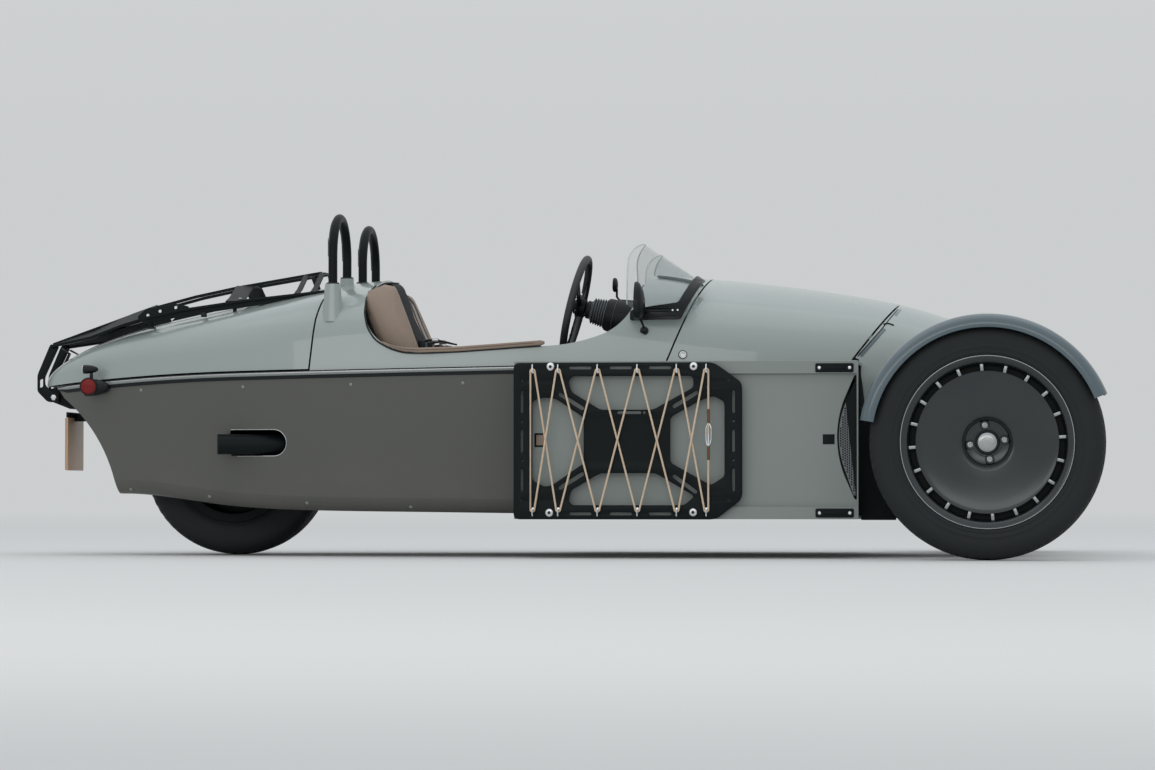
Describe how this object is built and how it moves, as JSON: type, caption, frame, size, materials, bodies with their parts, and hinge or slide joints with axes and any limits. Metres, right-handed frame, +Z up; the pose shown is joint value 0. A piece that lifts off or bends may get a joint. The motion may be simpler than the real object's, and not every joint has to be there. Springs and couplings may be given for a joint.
{
  "type": "three wheeled car",
  "caption": "Open two-seat three wheeled car with steered front wheels under cycle guards, a driven rear wheel, a hinged tail lid with rack, and side racks.",
  "frame": {"origin": "on the ground under the centre of the car's bounding box", "axes": "+X forward, +Y to the car's left, +Z up"},
  "size_m": [3.6346, 1.848, 1.149],
  "materials": {
    "body_paint": "gloss pale grey green paint",
    "tub_paint": "satin warm grey paint",
    "bright_strip": "brushed",
    "black_metal": "satin black powder coat",
    "cast_alloy": "cast",
    "arm_metal": "dark plated",
    "guard_paint": "metallic dark blue grey",
    "wheel_paint": "satin dark grey",
    "tyre_rubber": "black rubber",
    "tan_leather": "tan",
    "dark_trim": "matt black",
    "clear_screen": "clear",
    "lamp_shell": "dark housings",
    "plate_back": "plain, blank",
    "cord_tan": "tan cord"
  },
  "bodies": {
    "chassis": {"tub": "tub_paint", "cockpit_surround": "body_paint", "bonnet": "body_paint", "nose_cowl": "body_paint", "nose_grille": "black_metal", "waist_strips": "bright_strip", "luggage_floor": "black_metal", "engine_block": "cast_alloy", "front_frame": "cast_alloy", "steering_rack": "cast_alloy", "dashboard": "dark_trim", "centre_mirror": "dark_trim", "tail_hinge": "black_metal", "plate_holder": "plate_back", "swingarm": "arm_metal", "steering_column": "dark_trim", "intake_meshes": "black_metal", "cord_lacings": "cord_tan", "roll_hoops": "black_metal", "coamings": "tan_leather", "flyscreens": "clear_screen", "screen_frames": "dark_trim", "side_mirrors": "dark_trim", "tail_lamps": "lamp_shell", "exhausts": "black_metal", "headlamps": "lamp_shell", "wishbones": "arm_metal", "coilovers": "arm_metal", "side_pod_left": "tub_paint", "side_pod_right": "tub_paint", "side_carrier_left": "black_metal", "side_carrier_right": "black_metal", "seat_left": "tan_leather", "seat_right": "tan_leather"},
    "lid": {"tail_lid": "body_paint", "rear_rack": "black_metal"},
    "tie_bar": {"tie_rods": "arm_metal"},
    "helm": {"steering_wheel": "dark_trim"},
    "upright_right": {"knuckle_right": "cast_alloy", "mudguard_right": "guard_paint"},
    "upright_left": {"knuckle_left": "cast_alloy", "mudguard_left": "guard_paint"},
    "wheel_front_right": {"hub_front_right": "arm_metal", "rim_front_right": "wheel_paint", "tyre_front_right": "tyre_rubber"},
    "wheel_front_left": {"hub_front_left": "arm_metal", "rim_front_left": "wheel_paint", "tyre_front_left": "tyre_rubber"},
    "wheel_rear": {"rim_rear": "wheel_paint", "tyre_rear": "tyre_rubber"}
  },
  "joints": [
    {"name": "steer_right", "type": "hinge", "parent": "chassis", "child": "upright_right", "pos_m": [1.44271, -0.778, 0.371], "axis": [0, 0, 1], "range_deg": [-28, 28]},
    {"name": "steer_left", "type": "hinge", "parent": "chassis", "child": "upright_left", "pos_m": [1.44271, 0.778, 0.371], "axis": [0, 0, 1], "range_deg": [-28, 28]},
    {"name": "tie_bar_slide", "type": "slide", "parent": "chassis", "child": "tie_bar", "axis": [0, 1, 0], "range_m": [-0.058, 0.058]},
    {"name": "helm_turn", "type": "hinge", "parent": "chassis", "child": "helm", "pos_m": [0.07471, -0.29, 0.832], "axis": [-0.9703, 0, 0.2419], "range_deg": [-285, 285]},
    {"name": "wheel_spin_right", "type": "hinge", "parent": "upright_right", "child": "wheel_front_right", "pos_m": [1.44271, -0.838, 0.371], "axis": [0, 1, 0], "continuous": true},
    {"name": "wheel_spin_left", "type": "hinge", "parent": "upright_left", "child": "wheel_front_left", "pos_m": [1.44271, 0.838, 0.371], "axis": [0, 1, 0], "continuous": true},
    {"name": "wheel_spin_rear", "type": "hinge", "parent": "chassis", "child": "wheel_rear", "pos_m": [-1.12529, 0, 0.317], "axis": [0, 1, 0], "continuous": true},
    {"name": "lid_open", "type": "hinge", "parent": "chassis", "child": "lid", "pos_m": [-1.75729, 0, 0.54], "axis": [0, -1, 0], "range_deg": [0, 55]}
  ],
  "couplings": [
    {"joint": "steer_left", "follows": "steer_right", "ratio": 1},
    {"joint": "tie_bar_slide", "follows": "steer_right", "m_per_rad": -0.11528},
    {"joint": "helm_turn", "follows": "steer_right", "ratio": 10}
  ]
}
